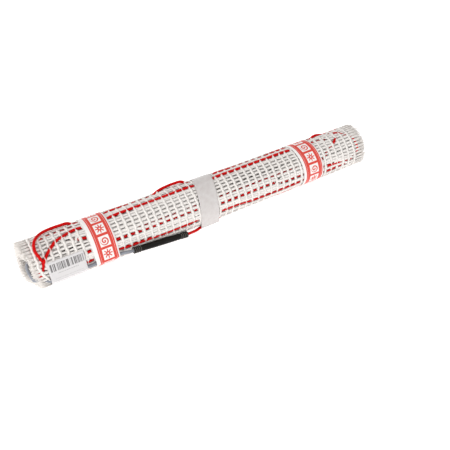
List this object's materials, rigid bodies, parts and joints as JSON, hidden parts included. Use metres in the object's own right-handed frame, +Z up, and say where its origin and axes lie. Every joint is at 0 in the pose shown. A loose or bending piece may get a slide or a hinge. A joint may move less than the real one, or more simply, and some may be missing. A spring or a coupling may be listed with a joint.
{
  "type": "underfloor heating mat",
  "caption": "Rolled-up electric underfloor heating mat: glass fibre mesh with a heating cable, joint sleeve and cold lead, held by printed and clear tapes, with a paper label.",
  "frame": {"origin": "on the level floor, below the middle of the roll's length, on the flat facet that the roll rests on", "axes": "+X along the roll to its thinner end, +Y away from the side with the joint sleeve and the label, +Z up"},
  "size_m": [0.5014, 0.0744, 0.0704],
  "materials": {
    "mesh": "coated glass fibre yarn, matt",
    "cable_jacket": "smooth red polymer jacket",
    "sleeve_rubber": "black shrink sleeve, satin",
    "lead_jacket": "grey PVC jacket, satin",
    "printed_tape": "white film printed red with a common star and swirl pattern",
    "clear_tape": "clear packing tape, milky over the mesh",
    "label_paper": "white paper with plain bars and rules"
  },
  "bodies": {
    "root": {"mesh_roll": "mesh", "heating_cable": "cable_jacket", "cold_lead": "lead_jacket", "joint_sleeve": "sleeve_rubber", "tape_left": "printed_tape", "tape_middle": "clear_tape", "tape_right": "printed_tape", "label": "label_paper"}
  },
  "joints": []
}
